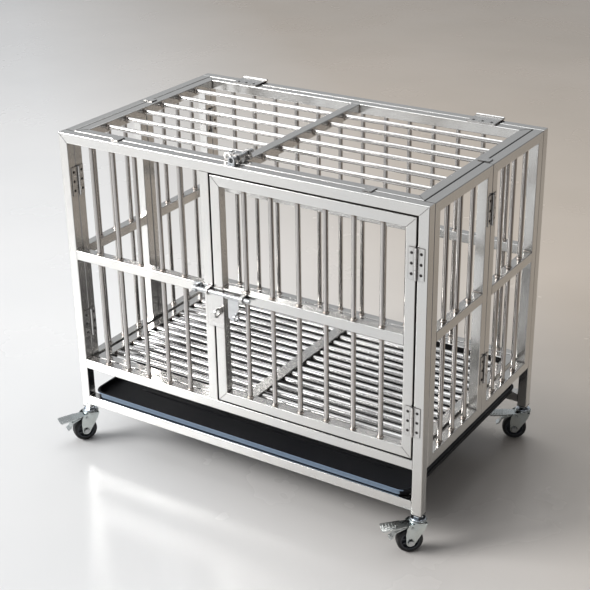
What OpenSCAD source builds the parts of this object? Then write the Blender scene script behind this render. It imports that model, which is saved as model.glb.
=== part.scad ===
// Folding kennel cage on four braked swivel casters: welded square-tube panels with
// round bars, front door, hinged lid, lift-out floor grate and pull-out tray.
// Millimetres. +Z up, the front faces -Y, origin on the floor below the middle of the
// overall box.

/* [Cage] */
// Width over the corner posts
cage_w = 800; // [700:10:900]
// Depth over the corner posts
cage_d = 490; // [440:10:560]
// Length of the corner posts, without casters
post_h = 600; // [560:10:680]
// Outer size of the square tube
tube = 20; // [18:1:22]
// Wall of the square tube
wall = 1.0; // [0.8:0.1:1.5]
// Outer corner radius of the square tube
tube_r = 1.6; // [1:0.1:2.5]
// Diameter of the round cage bars
bar_d = 9.5; // [8:0.5:11]
// Wall of the round cage bars
bar_wall = 0.8; // [0.6:0.1:1.2]
// Clearance left where two tubes are fitted up
fit_gap = 0.1; // [0.05:0.05:0.2]

/* [Rails] */
// Underside of the rail that carries the tray
lower_rail_z = 7; // [5:1:20]
// Underside of the bottom rail, beside the floor grate
bottom_rail_z = 93; // [88:1:110]
// Underside of the middle rail
mid_rail_z = 337; // [320:1:360]

/* [Front door] */
// Left edge of the door opening, from the left side of the cage
door_x = 354; // [330:1:380]
// Gap all round the door
door_gap = 3; // [2:0.5:4]
// Number of bars in the door
door_bars_n = 6; // [4:1:7]
// Spacing of the door bars
door_bar_pitch = 56.8; // [50:0.1:58]
// Number of bars left of the door
fixed_bars_n = 5; // [3:1:6]
// Number of bars in the rear panel
rear_bars_n = 13; // [10:1:15]

/* [Side leaves] */
// Number of bars in each side leaf
leaf_bars_n = 3; // [2:1:3]
// Spacing of the bars in a side leaf
leaf_bar_pitch = 50; // [44:1:52]
// Gap where the two leaves of a side meet
leaf_gap = 1; // [0.6:0.1:2]

/* [Lid] */
// Gap all round the lid
lid_gap = 2; // [1.5:0.5:4]
// Number of bars in the lid
lid_bars_n = 6; // [4:1:8]

/* [Floor grate] */
// Height of the floor grate frame
grate_h = 16; // [14:1:18]
// Number of floor bars
grate_bars_n = 14; // [12:1:15]
// Diameter of the floor bars
grate_bar_d = 15.6; // [12:0.1:16]
// Width of the strip along the middle of the floor
strip_w = 25; // [20:1:30]

/* [Tray] */
// Width of the tray over its rim
tray_w = 744; // [700:2:752]
// Depth of the tray over its rim, front to back
tray_d = 482; // [430:2:484]
// Height of the tray
tray_h = 14.5; // [12:0.5:45]
// Wall of the tray
tray_wall = 2.4; // [2:0.1:3]
// Corner chamfer of the tray
tray_corner = 22; // [14:1:30]

/* [Hinges] */
// Length of a hinge
hinge_l = 58; // [50:1:64]
// Radius of a hinge knuckle
knuckle_r = 2.9; // [2.7:0.1:2.9]
// Radius of a hinge pin
pin_r = 1.25; // [1:0.05:1.5]
// Thickness of a hinge plate
plate_t = 1.5; // [1.2:0.1:1.8]

/* [Casters] */
// Overall height of a caster below the post
caster_h = 78; // [74:1:84]
// Wheel diameter
wheel_d = 50; // [48:1:50]
// Wheel width
wheel_w = 20; // [18:1:21]
// Distance of the axle behind the swivel axis
trail = 16; // [14:1:20]
// Direction in which the front left caster trails
trail_fl = 238; // [0:1:359]
// Direction in which the front right caster trails
trail_fr = 222; // [0:1:359]
// Direction in which the rear right caster trails
trail_rr = 205; // [0:1:359]
// Direction in which the rear left caster trails
trail_rl = 230; // [0:1:359]

/* [Hidden] */
$fn = 48;

// Where the front left post's outer bottom corner lies in the part's own frame
ox = -383.37;
oy = -222.84;
oz = caster_h;

half = tube/2;
g = fit_gap;
ix0 = tube;                    // inner faces of the posts
ix1 = cage_w - tube;
iy1 = cage_d - tube;
top_z = post_h - half;         // centre of the top rails
mid_z = mid_rail_z + half;
bot_z = bottom_rail_z + half;
low_z = lower_rail_z + half;
floor_z = bottom_rail_z + tube; // top of the bottom rails and of the floor grate
upper0 = mid_rail_z + tube;    // clear windows above and below the middle rail
upper1 = post_h - tube;
leaf_y0 = tube + 0.5;
leaf_y1 = cage_d/2 - leaf_gap/2;
leaf_len = leaf_y1 - leaf_y0;
door_x0 = door_x + door_gap;
door_x1 = ix1 - door_gap;
door_z0 = floor_z + door_gap;
door_z1 = upper1 - door_gap;
lid_x0 = ix0 + lid_gap;
lid_x1 = ix1 - lid_gap;
lid_y0 = tube + lid_gap;
lid_y1 = iy1 - lid_gap;
lid_t = post_h;                // top of the lid
grate_x0 = ix0 + 7.5;
grate_x1 = ix1 - 7.5;
grate_y0 = tube + 2;
grate_y1 = iy1 - 2;
grate_z = floor_z - grate_h/2;
lid_axis_y = cage_d + 3;
lid_axis_z = post_h + 3.4;
hinge_lo = 164;                // lower ends of the hinges
hinge_hi = 466;
rod_r = 4;
rod_off = 9;                   // bolt rod axis above the tube face
bolt_z = 349;
lid_bolt_x = 402;
wr = wheel_d/2;
axle_z = -(caster_h - wr);

steel = [0.86, 0.86, 0.87];
bright = [0.92, 0.92, 0.93];
zinc = [0.74, 0.76, 0.76];

// ---- sections and tubes -------------------------------------------------

module rsec(a, b, r) {
    union() {
        square([a, b - 2*r], center = true);
        square([a - 2*r, b], center = true);
        for (i = [-1, 1], j = [-1, 1]) translate([i*(a/2 - r), j*(b/2 - r)]) circle(r, $fn = 24);
    }
}

// A tube along +X, a wide along Y and b high along Z. m0 and m1 cut its ends: 0 square,
// 1 at 45 degrees with the long side on +Y, -1 with the long side on -Y.
module tube_x(len, m0 = 0, m1 = 0, a = tube, b = tube) {
    e = a/2 + 2;
    module raw() {
        translate([g, 0, 0]) rotate([90, 0, 90]) linear_extrude(len - 2*g) difference() {
            rsec(a, b, tube_r);
            square([a - 2*wall, b - 2*wall], center = true);
        }
    }
    if (m0 == 0 && m1 == 0) raw();
    else intersection() {
        raw();
        translate([0, 0, -b]) linear_extrude(2*b) polygon([
            [m0 == 0 ? -2 : g + a/2 + m0*e, -e],
            [m1 == 0 ? len + 2 : len - g - a/2 - m1*e, -e],
            [m1 == 0 ? len + 2 : len - g - a/2 + m1*e, e],
            [m0 == 0 ? -2 : g + a/2 - m0*e, e]]);
    }
}
// Rails and posts by direction. The last word of each name is the plane of its mitres.
module rail_x_xz(x0, x1, y, z, m0 = 0, m1 = 0) translate([x0, y, z]) rotate([90, 0, 0]) tube_x(x1 - x0, m0, m1);
module post_z_xz(x, y, z0, z1, m0 = 0, m1 = 0) translate([x, y, z0]) rotate([90, -90, 0]) tube_x(z1 - z0, m0, m1);
module rail_y_yz(x, y0, y1, z, m0 = 0, m1 = 0) translate([x, y0, z]) rotate([90, 0, 90]) tube_x(y1 - y0, m0, m1);
module post_z_yz(x, y, z0, z1, m0 = 0, m1 = 0) translate([x, y, z0]) rotate([0, -90, 0]) tube_x(z1 - z0, m0, m1);
module rail_x_xy(x0, x1, y, z, m0, m1, b = tube) translate([x0, y, z]) tube_x(x1 - x0, m0, m1, tube, b);
module rail_y_xy(x, y0, y1, z, m0, m1, b = tube) translate([x, y0, z]) rotate([0, 0, 90]) tube_x(y1 - y0, m0, m1, tube, b);

module round_bar(len, d = bar_d, w = bar_wall) {
    difference() {
        translate([0, 0, g]) cylinder(d = d, h = len - 2*g, $fn = 32);
        translate([0, 0, -1]) cylinder(d = d - 2*w, h = len + 2, $fn = 32);
    }
}
module bar_z(x, y, z0, z1) translate([x, y, z0]) round_bar(z1 - z0);
module bar_x(x0, x1, y, z, d = bar_d) translate([x0, y, z]) rotate([0, 90, 0]) round_bar(x1 - x0, d);

// Everything is drawn from the front left post's outer bottom corner.
module place() translate([ox, oy, oz]) children();

// ---- fixed panels --------------------------------------------------------

module panel_posts(y) {
    post_z_xz(half, y, 0, post_h, 0, 1);
    post_z_xz(cage_w - half, y, 0, post_h, 0, -1);
    rail_x_xz(0, cage_w, y, top_z, 1, 1);
    rail_x_xz(ix0, ix1, y, bot_z);
    rail_x_xz(ix0, ix1, y, low_z);
}
module front_frame() color(bright) place() {
    panel_posts(half);
    post_z_xz(door_x - half, half, floor_z, upper1);
    rail_x_xz(ix0, door_x - tube, half, mid_z);
}
module front_bars() color(steel) place()
    for (i = [1:fixed_bars_n]) {
        x = ix0 + i*(door_x - tube - ix0)/(fixed_bars_n + 1);
        bar_z(x, half, floor_z, mid_rail_z);
        bar_z(x, half, upper0, upper1);
    }
module rear_frame() color(steel) place() {
    panel_posts(cage_d - half);
    rail_x_xz(ix0, ix1, cage_d - half, mid_z);
}
module rear_bars() color(steel) place()
    for (i = [1:rear_bars_n]) {
        x = ix0 + i*(ix1 - ix0)/(rear_bars_n + 1);
        bar_z(x, cage_d - half, floor_z, mid_rail_z);
        bar_z(x, cage_d - half, upper0, upper1);
    }

// One leaf of a folding side, from y0, mitred at its four corners
module leaf(x, y0) {
    y1 = y0 + leaf_len;
    post_z_yz(x, y0 + half, bottom_rail_z, post_h, -1, -1);
    post_z_yz(x, y1 - half, bottom_rail_z, post_h, 1, 1);
    rail_y_yz(x, y0, y1, top_z, 1, 1);
    rail_y_yz(x, y0, y1, bot_z, -1, -1);
    rail_y_yz(x, y0 + tube, y1 - tube, mid_z);
}
leaf2_y0 = cage_d/2 + leaf_gap/2;
module left_front_leaf() color(steel) place() leaf(half, leaf_y0);
module left_rear_leaf() color(steel) place() leaf(half, leaf2_y0);
module right_front_leaf() color(steel) place() leaf(cage_w - half, leaf_y0);
module right_rear_leaf() color(steel) place() leaf(cage_w - half, leaf2_y0);
module leaf_bars(x)
    for (y0 = [leaf_y0, leaf2_y0], i = [0:leaf_bars_n - 1]) {
        y = y0 + leaf_len/2 + 3 + (i - (leaf_bars_n - 1)/2)*leaf_bar_pitch;
        bar_z(x, y, floor_z, mid_rail_z);
        bar_z(x, y, upper0, upper1);
    }
module left_side_bars() color(steel) place() leaf_bars(half);
module right_side_bars() color(steel) place() leaf_bars(cage_w - half);

// ---- hinges ----------------------------------------------------------------
// A hinge stands along Z with its axis on the origin. Its plate lies on +X, against a
// surface 3 mm beyond the axis on +Y. ends = true gives the two end knuckles.

module knuckle_zone(z0, z1, y0, y1) {
    translate([0, 0, z0]) cylinder(r = knuckle_r, h = z1 - z0, $fn = 32);
    translate([0, y0, z0]) cube([knuckle_r + 1, y1 - y0, z1 - z0]);
}
module hinge_leaf(w, ends, y0 = 3 - plate_t, y1 = 3, len = hinge_l, rows = [0.17, 0.5, 0.83], hx = 0.62, inner = 3.5)
    difference() {
        union() {
            translate([inner, y0, 0]) cube([w - inner, y1 - y0, len]);
            if (ends) {
                knuckle_zone(0, len/3 - 0.2, y0, y1);
                knuckle_zone(2*len/3 + 0.2, len, y0, y1);
            } else knuckle_zone(len/3 + 0.2, 2*len/3 - 0.2, y0, y1);
        }
        translate([0, 0, -1]) cylinder(r = pin_r + 0.05, h = len + 2, $fn = 32);
        for (k = rows) translate([w*hx, y0 - 1, k*len]) rotate([-90, 0, 0]) cylinder(r = 1.6, h = y1 - y0 + 2, $fn = 24);
    }
module hinge_pin(len = hinge_l) {
    translate([0, 0, -0.6]) cylinder(r = pin_r, h = len + 1.2, $fn = 32);
    translate([0, 0, len + 0.1]) cylinder(r = pin_r + 0.9, h = 0.9, $fn = 32);
    translate([0, 0, -1]) cylinder(r = pin_r + 0.9, h = 0.9, $fn = 32);
}
// A rivet through a plate that faces -Y, its head on the plate and its shank in the hole
module rivet(y_plate, y_end) {
    translate([0, y_plate, 0]) rotate([90, 0, 0]) rotate_extrude($fn = 24)
        polygon([[0, 0], [2.7, 0], [2.7, 0.25], [2.0, 0.7], [1.0, 0.9], [0, 0.95]]);
    translate([0, y_plate - 0.01, 0]) rotate([-90, 0, 0]) cylinder(r = 1.5, h = y_end - y_plate - 0.04, $fn = 24);
}
module rivet_row(w, y0 = 3 - plate_t, y1 = 3, len = hinge_l, rows = [0.17, 0.5, 0.83], hx = 0.62)
    for (k = rows) translate([w*hx, 0, k*len]) rivet(y0, y1);

// Places of the hinges. Each takes the children to its axis, plates towards the surface.
module at_door_hinges() for (z = [hinge_lo, hinge_hi]) translate([ix1 - 1.5, -3, z]) children();
corner_y = tube + 4;
// Corner hinges lie on the inner faces; the surface is towards the outside of the cage.
// m = 0 draws the plate on the leaf, m = 1 the plate on the post.
module at_corner_hinges(m)
    for (z = [hinge_lo - 2, hinge_hi + 4]) {
        translate([ix1 - 3, corner_y, z]) mirror([0, m, 0]) rotate([0, 0, -90]) mirror([1, 0, 0]) children();
        translate([ix0 + 3, corner_y, z]) mirror([0, m, 0]) rotate([0, 0, 90]) children();
        translate([ix1 - 3, cage_d - corner_y, z]) mirror([0, 1 - m, 0]) rotate([0, 0, -90]) mirror([1, 0, 0]) children();
        translate([ix0 + 3, cage_d - corner_y, z]) mirror([0, 1 - m, 0]) rotate([0, 0, 90]) children();
    }
// Middle hinges lie on the outer faces of the two middle stiles.
module at_mid_hinges(m)
    for (z = [hinge_lo, hinge_hi + 20]) {
        translate([cage_w + 3, cage_d/2, z]) mirror([0, m, 0]) rotate([0, 0, 90]) children();
        translate([-3, cage_d/2, z]) mirror([0, m, 0]) rotate([0, 0, -90]) mirror([1, 0, 0]) children();
    }
module corner_hinge_leaves() color(bright) place() {
    at_corner_hinges(0) hinge_leaf(14.5, false);
    at_corner_hinges(1) hinge_leaf(18.5, true, hx = 0.7);
}
module mid_hinge_leaves() color(bright) place() {
    at_mid_hinges(0) hinge_leaf(15, false);
    at_mid_hinges(1) hinge_leaf(15, true);
}
module fold_hinge_pins() color(zinc) place() {
    at_corner_hinges(0) hinge_pin();
    at_mid_hinges(0) hinge_pin();
}
module lid_leaf_spot() for (x = [125, 678]) translate([x, lid_axis_y, lid_axis_z]) children();
// Fixed leaf of a lid hinge: axis along X, plate down the rear face of the rear top rail
module lid_hinge_rail_leaves() color(bright) place()
    lid_leaf_spot() translate([-hinge_l/2, 0, 0]) rotate([0, 90, 0]) rotate([0, 0, 0]) mirror([0, 1, 0]) hinge_leaf(20, true, hx = 0.6);
module lid_hinge_pins() color(zinc) place()
    lid_leaf_spot() translate([-hinge_l/2, 0, 0]) rotate([0, 90, 0]) hinge_pin();
// Moving leaf: a strap over the rear top rail to a pad on the lid's rear rail
strap_w = lid_axis_y - (lid_y1 - tube + 1);
module lid_hinge_straps() color(bright) place()
    lid_leaf_spot() difference() {
        union() {
            translate([-hinge_l/2, -strap_w, -1.4]) cube([hinge_l, strap_w - 3.5, 1.5]);
            translate([-hinge_l/2, -strap_w, -3.4 + 0.02]) cube([hinge_l, lid_y1 - 0.6 - (lid_axis_y - strap_w), 2.1]);
            translate([-hinge_l/6 + 0.2, -4, -1.4]) cube([hinge_l/3 - 0.4, 4, 1.5]);
            translate([-hinge_l/6 + 0.2, 0, 0]) rotate([0, 90, 0]) cylinder(r = knuckle_r, h = hinge_l/3 - 0.4, $fn = 32);
        }
        translate([-hinge_l, 0, 0]) rotate([0, 90, 0]) cylinder(r = pin_r + 0.05, h = 2*hinge_l, $fn = 32);
        for (i = [-1, 0, 1]) translate([i*19, -strap_w + 8.5, -5]) cylinder(r = 1.6, h = 8, $fn = 24);
    }
module door_hinge_post_leaves() color(bright) place() at_door_hinges() hinge_leaf(15, true);
module door_hinge_leaves() color(bright) place() at_door_hinges() mirror([1, 0, 0]) hinge_leaf(14.5, false);
module door_hinge_pins() color(zinc) place() at_door_hinges() hinge_pin();

module cage_rivets() color(zinc) place() {
    at_corner_hinges(0) rivet_row(14.5);
    at_corner_hinges(1) rivet_row(18.5, hx = 0.7);
    at_mid_hinges(0) rivet_row(15);
    at_mid_hinges(1) rivet_row(15);
    at_door_hinges() rivet_row(15);
    lid_leaf_spot() translate([-hinge_l/2, 0, 0]) rotate([0, 90, 0]) mirror([0, 1, 0]) rivet_row(20, hx = 0.6);
}
module door_rivets() color(zinc) place() at_door_hinges() mirror([1, 0, 0]) rivet_row(14.5);
module lid_rivets() color(zinc) place()
    lid_leaf_spot() for (i = [-1, 0, 1]) translate([i*19, -strap_w + 8.5, 0.1]) rotate([-90, 0, 0]) rivet(0, 3.4);

// ---- slide bolts -------------------------------------------------------------
// Bolt parts are drawn with the rod along X, the tube face at z = 0 below it and the
// rod axis at height rod_off. The gap to be closed is at x = 0; the rod slides to -X.

module bolt_eye(x, w, bore, base_w, z0 = 0)
    difference() {
        union() {
            translate([x, 0, rod_off]) rotate([0, 90, 0]) cylinder(r = 7, h = w, $fn = 40);
            translate([x, -7, z0]) cube([w, 14, rod_off - z0]);
            translate([x + w/2 - base_w/2, -9, z0]) cube([base_w, 18, 1.5]);
        }
        translate([x - 1, 0, rod_off]) rotate([0, 90, 0]) cylinder(r = bore, h = w + 2, $fn = 40);
    }
module bolt_keeper() bolt_eye(-38, 6.5, rod_r + 0.5, 20);
// A round lug that stands up from a plate at z0, with its padlock hole along X
module padlock_lug(x, y, z, r, z0, hole = 4.5)
    difference() {
        union() {
            translate([x, y, z]) rotate([0, 90, 0]) cylinder(r = r, h = 3, $fn = 48);
            if (z > z0 + r - 2) translate([x, y - r*0.7, z0]) cube([3, r*1.4, z - z0]);
        }
        translate([x - 1, y, z]) rotate([0, 90, 0]) cylinder(r = hole, h = 5, $fn = 40);
        translate([x - 1, y - 2*r, z0 - 20]) cube([5, 4*r, 20]);
    }
// Cover plate over the gap, with a pad to the moving frame, two guide eyes and a lug
module latch_plate(drop, far) {
    translate([-13, -drop, 0.6]) cube([36, drop + 8, 1.5]);
    translate([2.5, -drop + 1, 0]) cube([19, drop + 6, 0.8]);
    padlock_lug(16.5, -36.5, 16, 9.6, 1, 5.6);
    bolt_eye(-11, 6.5, rod_r + 0.06, 9, 0.6);
    bolt_eye(far, 6.5, rod_r + 0.06, 13);
}
// Rod with a flat handle that hangs beside it and ends in the other padlock lug
module slide_bolt(tail, hx) {
    difference() {
        translate([-31, 0, rod_off]) rotate([0, 90, 0]) cylinder(r = rod_r, h = tail + 31, $fn = 40);
        translate([hx - 0.1, -8, rod_off - 1.1]) cube([24.2, 16, 2.2]);
    }
    translate([hx, 0, rod_off - 1]) linear_extrude(2) polygon([[0, 4], [24, 4], [24, -46], [20, -49], [10, -49.5], [0, -43.5]]);
    padlock_lug(hx + 20, -36.5, 16, 8.2, rod_off + 0.5, 4.8);
}
// On the door the rod runs along X and the handle hangs down
module on_door() translate([door_x + 1.5, 0, bolt_z]) rotate([90, 0, 0]) children();
// On the lid the rod runs front to back and the handle lies to the left
module on_lid() translate([lid_bolt_x, tube + lid_gap/2, post_h]) rotate([0, 0, 90]) mirror([0, 1, 0]) children();
module door_bolt_keeper() color(zinc) place() on_door() bolt_keeper();
module door_latch_plate() color(bright) place() on_door() latch_plate(73, 68);
module door_bolt() color(zinc) place() on_door() slide_bolt(88, 39.5);

module lid_bolt_keeper() color(zinc) place() on_lid() bolt_eye(-15, 6, rod_r + 0.5, 13);
module lid_latch_plate() color(bright) place() on_lid() {
    bolt_eye(3, 5, rod_r + 0.06, 7);
    bolt_eye(35, 5, rod_r + 0.06, 9);
    translate([1.8, -33, 0]) cube([18.4, 25, 1.5]);
    padlock_lug(5, -22, 7.4, 8, 0.5);
}
module lid_bolt() color(zinc) place() on_lid() {
    difference() {
        translate([-8.4, 0, rod_off]) rotate([0, 90, 0]) cylinder(r = rod_r, h = 60, $fn = 40);
        translate([18.9, -8, rod_off - 1.1]) cube([14.2, 16, 2.2]);
    }
    difference() {
        translate([19, -31, rod_off - 1]) cube([14, 35, 2]);
        translate([26, -23, rod_off - 2]) cylinder(r = 4.5, h = 4, $fn = 40);
    }
}

// ---- door ----------------------------------------------------------------------

module door_frame() color(bright) place() {
    post_z_xz(door_x0 + half, half, door_z0, door_z1, 1, 1);
    post_z_xz(door_x1 - half, half, door_z0, door_z1, -1, -1);
    rail_x_xz(door_x0, door_x1, half, door_z1 - half, 1, 1);
    rail_x_xz(door_x0, door_x1, half, door_z0 + half, -1, -1);
    rail_x_xz(door_x0 + tube, door_x1 - tube, half, mid_z);
}
module door_bars() color(steel) place()
    for (i = [0:door_bars_n - 1]) {
        x = (door_x0 + door_x1)/2 + (i - (door_bars_n - 1)/2)*door_bar_pitch;
        bar_z(x, half, door_z0 + tube, mid_rail_z);
        bar_z(x, half, upper0, door_z1 - tube);
    }

// ---- lid -----------------------------------------------------------------------

module lid_frame() color(steel) place() {
    rail_x_xy(lid_x0, lid_x1, lid_y0 + half, top_z, -1, -1);
    rail_x_xy(lid_x0, lid_x1, lid_y1 - half, top_z, 1, 1);
    rail_y_xy(lid_x0 + half, lid_y0, lid_y1, top_z, 1, 1);
    rail_y_xy(lid_x1 - half, lid_y0, lid_y1, top_z, -1, -1);
    rail_y_xy(cage_w/2, lid_y0 + tube, lid_y1 - tube, top_z, 0, 0);
}
module lid_bars() color(bright) place()
    for (i = [1:lid_bars_n]) {
        y = lid_y0 + tube + i*(lid_y1 - lid_y0 - 2*tube)/(lid_bars_n + 1);
        bar_x(lid_x0 + tube, cage_w/2 - half, y, top_z);
        bar_x(cage_w/2 + half, lid_x1 - tube, y, top_z);
    }
// Small plates welded on the lid that lap over the rails and carry it when it is shut
module rest_tab() {
    translate([-8, -10, 0.3]) cube([16, 22, 1.5]);
    translate([-8, 3, 0]) cube([16, 9, 0.8]);
}
module lid_rest_tabs() color(bright) place() {
    for (x = [130, 676]) translate([x, tube + 1, post_h]) rest_tab();
    translate([tube + 1, 257, post_h]) rotate([0, 0, -90]) rest_tab();
    translate([cage_w - tube - 1, 257, post_h]) rotate([0, 0, 90]) rest_tab();
}

// ---- floor grate and tray -------------------------------------------------------

module grate_frame() color(bright) place() {
    rail_x_xy(grate_x0, grate_x1, grate_y0 + half, grate_z, -1, -1, grate_h);
    rail_x_xy(grate_x0, grate_x1, grate_y1 - half, grate_z, 1, 1, grate_h);
    rail_y_xy(grate_x0 + half, grate_y0, grate_y1, grate_z, 1, 1, grate_h);
    rail_y_xy(grate_x1 - half, grate_y0, grate_y1, grate_z, -1, -1, grate_h);
}
module grate_bars() color(bright) place()
    for (i = [1:grate_bars_n])
        bar_x(grate_x0 + tube, grate_x1 - tube, grate_y0 + tube + i*(grate_y1 - grate_y0 - 2*tube)/(grate_bars_n + 1), grate_z, grate_bar_d);
module grate_strip() color(bright) place()
    translate([cage_w/2 - strip_w/2, grate_y0 + 3, floor_z + 0.1]) cube([strip_w, grate_y1 - grate_y0 - 6, 3]);
// Lugs welded inside the bottom rails, on which the grate lies
module floor_rest_lugs() color(steel) place() {
    z = grate_z - grate_h/2 - 2.1;
    for (x = [135, 385, 635]) {
        translate([x, tube + 0.1, z]) cube([30, 14, 2]);
        translate([x, iy1 - 14.1, z]) cube([30, 14, 2]);
    }
    for (y = [110, 350]) {
        translate([tube + 0.1, y, z]) cube([16, 30, 2]);
        translate([ix1 - 16.1, y, z]) cube([16, 30, 2]);
    }
}
module tray_outline(inset, c) {
    w = tray_w/2 - inset;
    d = tray_d/2 - inset;
    polygon([[-w + c, -d], [w - c, -d], [w - c*0.35, -d + c*0.3], [w - c*0.05, -d + c*0.75], [w, -d + c*1.3],
             [w, d - c*1.3], [w - c*0.05, d - c*0.75], [w - c*0.35, d - c*0.3], [w - c, d],
             [-w + c, d], [-w + c*0.35, d - c*0.3], [-w + c*0.05, d - c*0.75], [-w, d - c*1.3],
             [-w, -d + c*1.3], [-w + c*0.05, -d + c*0.75], [-w + c*0.35, -d + c*0.3]]);
}
module tray() color([0.06, 0.06, 0.07]) place()
    translate([cage_w/2, 3 + tray_d/2, lower_rail_z + tube + 0.3]) {
        difference() {
            union() {
                linear_extrude(tray_h) tray_outline(3, tray_corner);
                translate([0, 0, tray_h - 4]) linear_extrude(4) tray_outline(0, tray_corner);
            }
            translate([0, 0, tray_wall]) linear_extrude(tray_h) tray_outline(3 + tray_wall, tray_corner);
        }
    }

// ---- post ends and casters --------------------------------------------------------

module at_posts() for (x = [half, cage_w - half], y = [half, cage_d - half]) translate([x, y, 0]) children();
module post_plugs() color([0.12, 0.12, 0.12]) place() at_posts() difference() {
    union() {
        translate([-half, -half, -1.6]) cube([tube, tube, 1.6]);
        translate([-half + wall + 0.1, -half + wall + 0.1, -0.1]) cube([tube - 2*wall - 0.2, tube - 2*wall - 0.2, 26]);
    }
    translate([0, 0, -3]) cylinder(r = 5.05, h = 40, $fn = 40);
}
// Threaded stem with its lock nut, upper race and king pin, fixed in the post
module caster_stems() color(zinc) place() at_posts() {
    translate([0, 0, -8]) cylinder(r = 5, h = 31, $fn = 40);
    translate([0, 0, -7.6]) cylinder(r = 9.8, h = 5.9, $fn = 6);
    translate([0, 0, -10]) cylinder(r = 12.5, h = 2.5, $fn = 48);
    translate([0, 0, -17.4]) cylinder(r = 4, h = 9, $fn = 40);
    translate([0, 0, -19.3]) cylinder(r = 7, h = 2, $fn = 40);
}
module leg_shape() {
    polygon([[-14.5, -15.2], [15, -15.2], [20.5, -18.5], [23.5, -26], [25.4, -36], [trail + 8.4, axle_z + 2], [trail, axle_z - 2], [trail - 8.2, axle_z - 2.5], [-6, -34], [-10.5, -26]]);
    translate([trail, axle_z]) circle(8.6, $fn = 48);
}
module fork() difference() {
    union() {
        rotate_extrude($fn = 64) polygon([[0, -17], [14.5, -17], [16.6, -15.6], [17, -13], [16, -11.2], [13.4, -10.3], [0, -10.3]]);
        translate([-14.5, -14.5, -17.2]) cube([29.5, 29, 2.2]);
        for (s = [-1, 1]) translate([0, s*13.5 + 1, 0]) rotate([90, 0, 0]) linear_extrude(2) leg_shape();
    }
    translate([0, 0, -30]) cylinder(r = 4.08, h = 30, $fn = 40);
    translate([trail, 30, axle_z]) rotate([90, 0, 0]) cylinder(r = 3.05, h = 60, $fn = 40);
    translate([13, 30, -22.5]) rotate([90, 0, 0]) cylinder(r = 2.05, h = 60, $fn = 40);
}
module axle() {
    translate([trail, 17.6, axle_z]) rotate([90, 0, 0]) cylinder(r = 3, h = 35.2, $fn = 40);
    translate([trail, 18.6, axle_z]) rotate([90, 0, 0]) cylinder(r = 5.6, h = 4, $fn = 6);
    translate([trail, -14.6, axle_z]) rotate([90, 0, 0]) cylinder(r = 5.6, h = 4, $fn = 6);
}
module tyre() translate([trail, 0, axle_z]) rotate([90, 0, 0]) rotate_extrude($fn = 96)
    polygon([[wr - 6.5, -wheel_w/2 + 0.6], [wr - 3.2, -wheel_w/2], [wr - 1.1, -wheel_w/2 + 1.6], [wr - 0.2, -wheel_w/2 + 4], [wr, -wheel_w/2 + 7],
             [wr, wheel_w/2 - 7], [wr - 0.2, wheel_w/2 - 4], [wr - 1.1, wheel_w/2 - 1.6], [wr - 3.2, wheel_w/2], [wr - 6.5, wheel_w/2 - 0.6]]);
module hub() translate([trail, 0, axle_z]) rotate([90, 0, 0]) rotate_extrude($fn = 64)
    polygon([[3.06, -11.5], [6.5, -11.5], [7, -4], [wr - 9, -3.4], [wr - 8.6, -wheel_w/2 + 0.8], [wr - 6.6, -wheel_w/2 + 0.8],
             [wr - 6.6, wheel_w/2 - 0.8], [wr - 8.6, wheel_w/2 - 0.8], [wr - 9, 3.4], [7, 4], [6.5, 11.5], [3.06, 11.5]]);
// Brake pedal: pivot pin and barrel between the fork legs, long tread plate and a short
// lower release tab
module pedal() translate([13, 0, -22.5]) {
    translate([0, 15.6, 0]) rotate([90, 0, 0]) cylinder(r = 2, h = 31.2, $fn = 32);
    translate([0, 11.8, 0]) rotate([90, 0, 0]) cylinder(r = 3.6, h = 23.6, $fn = 40);
    rotate([0, 4, 0]) {
        translate([0, 0, 1.4]) linear_extrude(2.2) polygon([[0, -11], [17, -11], [22, -13], [56, -11.5], [57, -10], [57, 10], [56, 11.5], [22, 13], [17, 11], [0, 11]]);
        translate([21, 0, 0.4]) for (s = [-1, 1]) translate([0, s*12 - 1, 0]) cube([34, 2, 3]);
    }
    // lower release tab: a bent strip that follows the tyre down to a turned-out tip
    translate([0, 8.5, 0]) rotate([90, 0, 0]) linear_extrude(17)
        polygon([[1, -2.6], [2.5, 1.2], [12, -1.4], [31, -9.4], [35.4, -19.4], [41.5, -23.4], [40.4, -25.3], [33.8, -21.2], [29.2, -11.2], [11.5, -3.6]]);
}
module caster_at(x, y, a) place() translate([x, y, 0]) rotate([0, 0, a]) children();
module fl() caster_at(half, half, trail_fl) children();
module fr() caster_at(cage_w - half, half, trail_fr) children();
module rr() caster_at(cage_w - half, cage_d - half, trail_rr) children();
module rl() caster_at(half, cage_d - half, trail_rl) children();
module fork_c() color(zinc) fork();
module axle_c() color([0.6, 0.6, 0.6]) axle();
module tyre_c() color([0.07, 0.07, 0.07]) tyre();
module hub_c() color([0.2, 0.2, 0.2]) hub();
module pedal_c() color([0.66, 0.66, 0.68]) pedal();

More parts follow.
